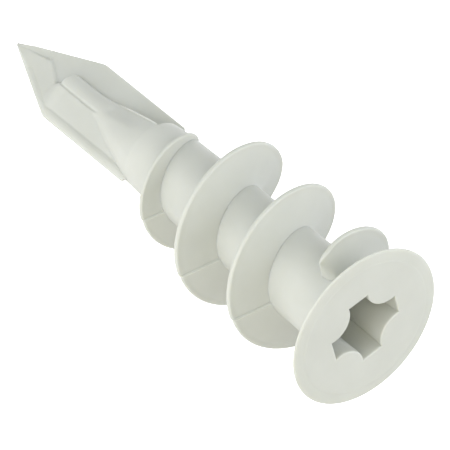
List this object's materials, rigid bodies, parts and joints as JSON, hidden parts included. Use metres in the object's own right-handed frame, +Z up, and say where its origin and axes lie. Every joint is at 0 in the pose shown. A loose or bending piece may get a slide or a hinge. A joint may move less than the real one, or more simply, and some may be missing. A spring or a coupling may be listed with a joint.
{
  "type": "wall anchor",
  "caption": "Self-drilling nylon wall anchor: flat round head with a cross recess, tapered barrel with a deep coarse thread, and a flat spade point.",
  "frame": {"origin": "centre of the head's front face, where the driver enters", "axes": "+Y along the anchor from the head towards the point, into the wall; +Z up; the mould's parting plane is the XY plane"},
  "size_m": [0.013, 0.0425, 0.013],
  "materials": {
    "nylon": "satin moulded nylon, pale grey-white, slightly translucent"
  },
  "bodies": {
    "root": {"blade_web": "nylon", "core_rib": "nylon", "drill_point": "nylon", "front_barrel": "nylon", "head_flange": "nylon", "lead_in_flight": "nylon", "lower_cutting_pad": "nylon", "neck_collar": "nylon", "nose_cone": "nylon", "rear_barrel": "nylon", "run_out_flight": "nylon", "socket_sleeve": "nylon", "thread_flight_1": "nylon", "thread_flight_2": "nylon", "thread_flight_3": "nylon", "thread_flight_4": "nylon", "thread_flight_5": "nylon", "upper_cutting_pad": "nylon"}
  },
  "joints": []
}
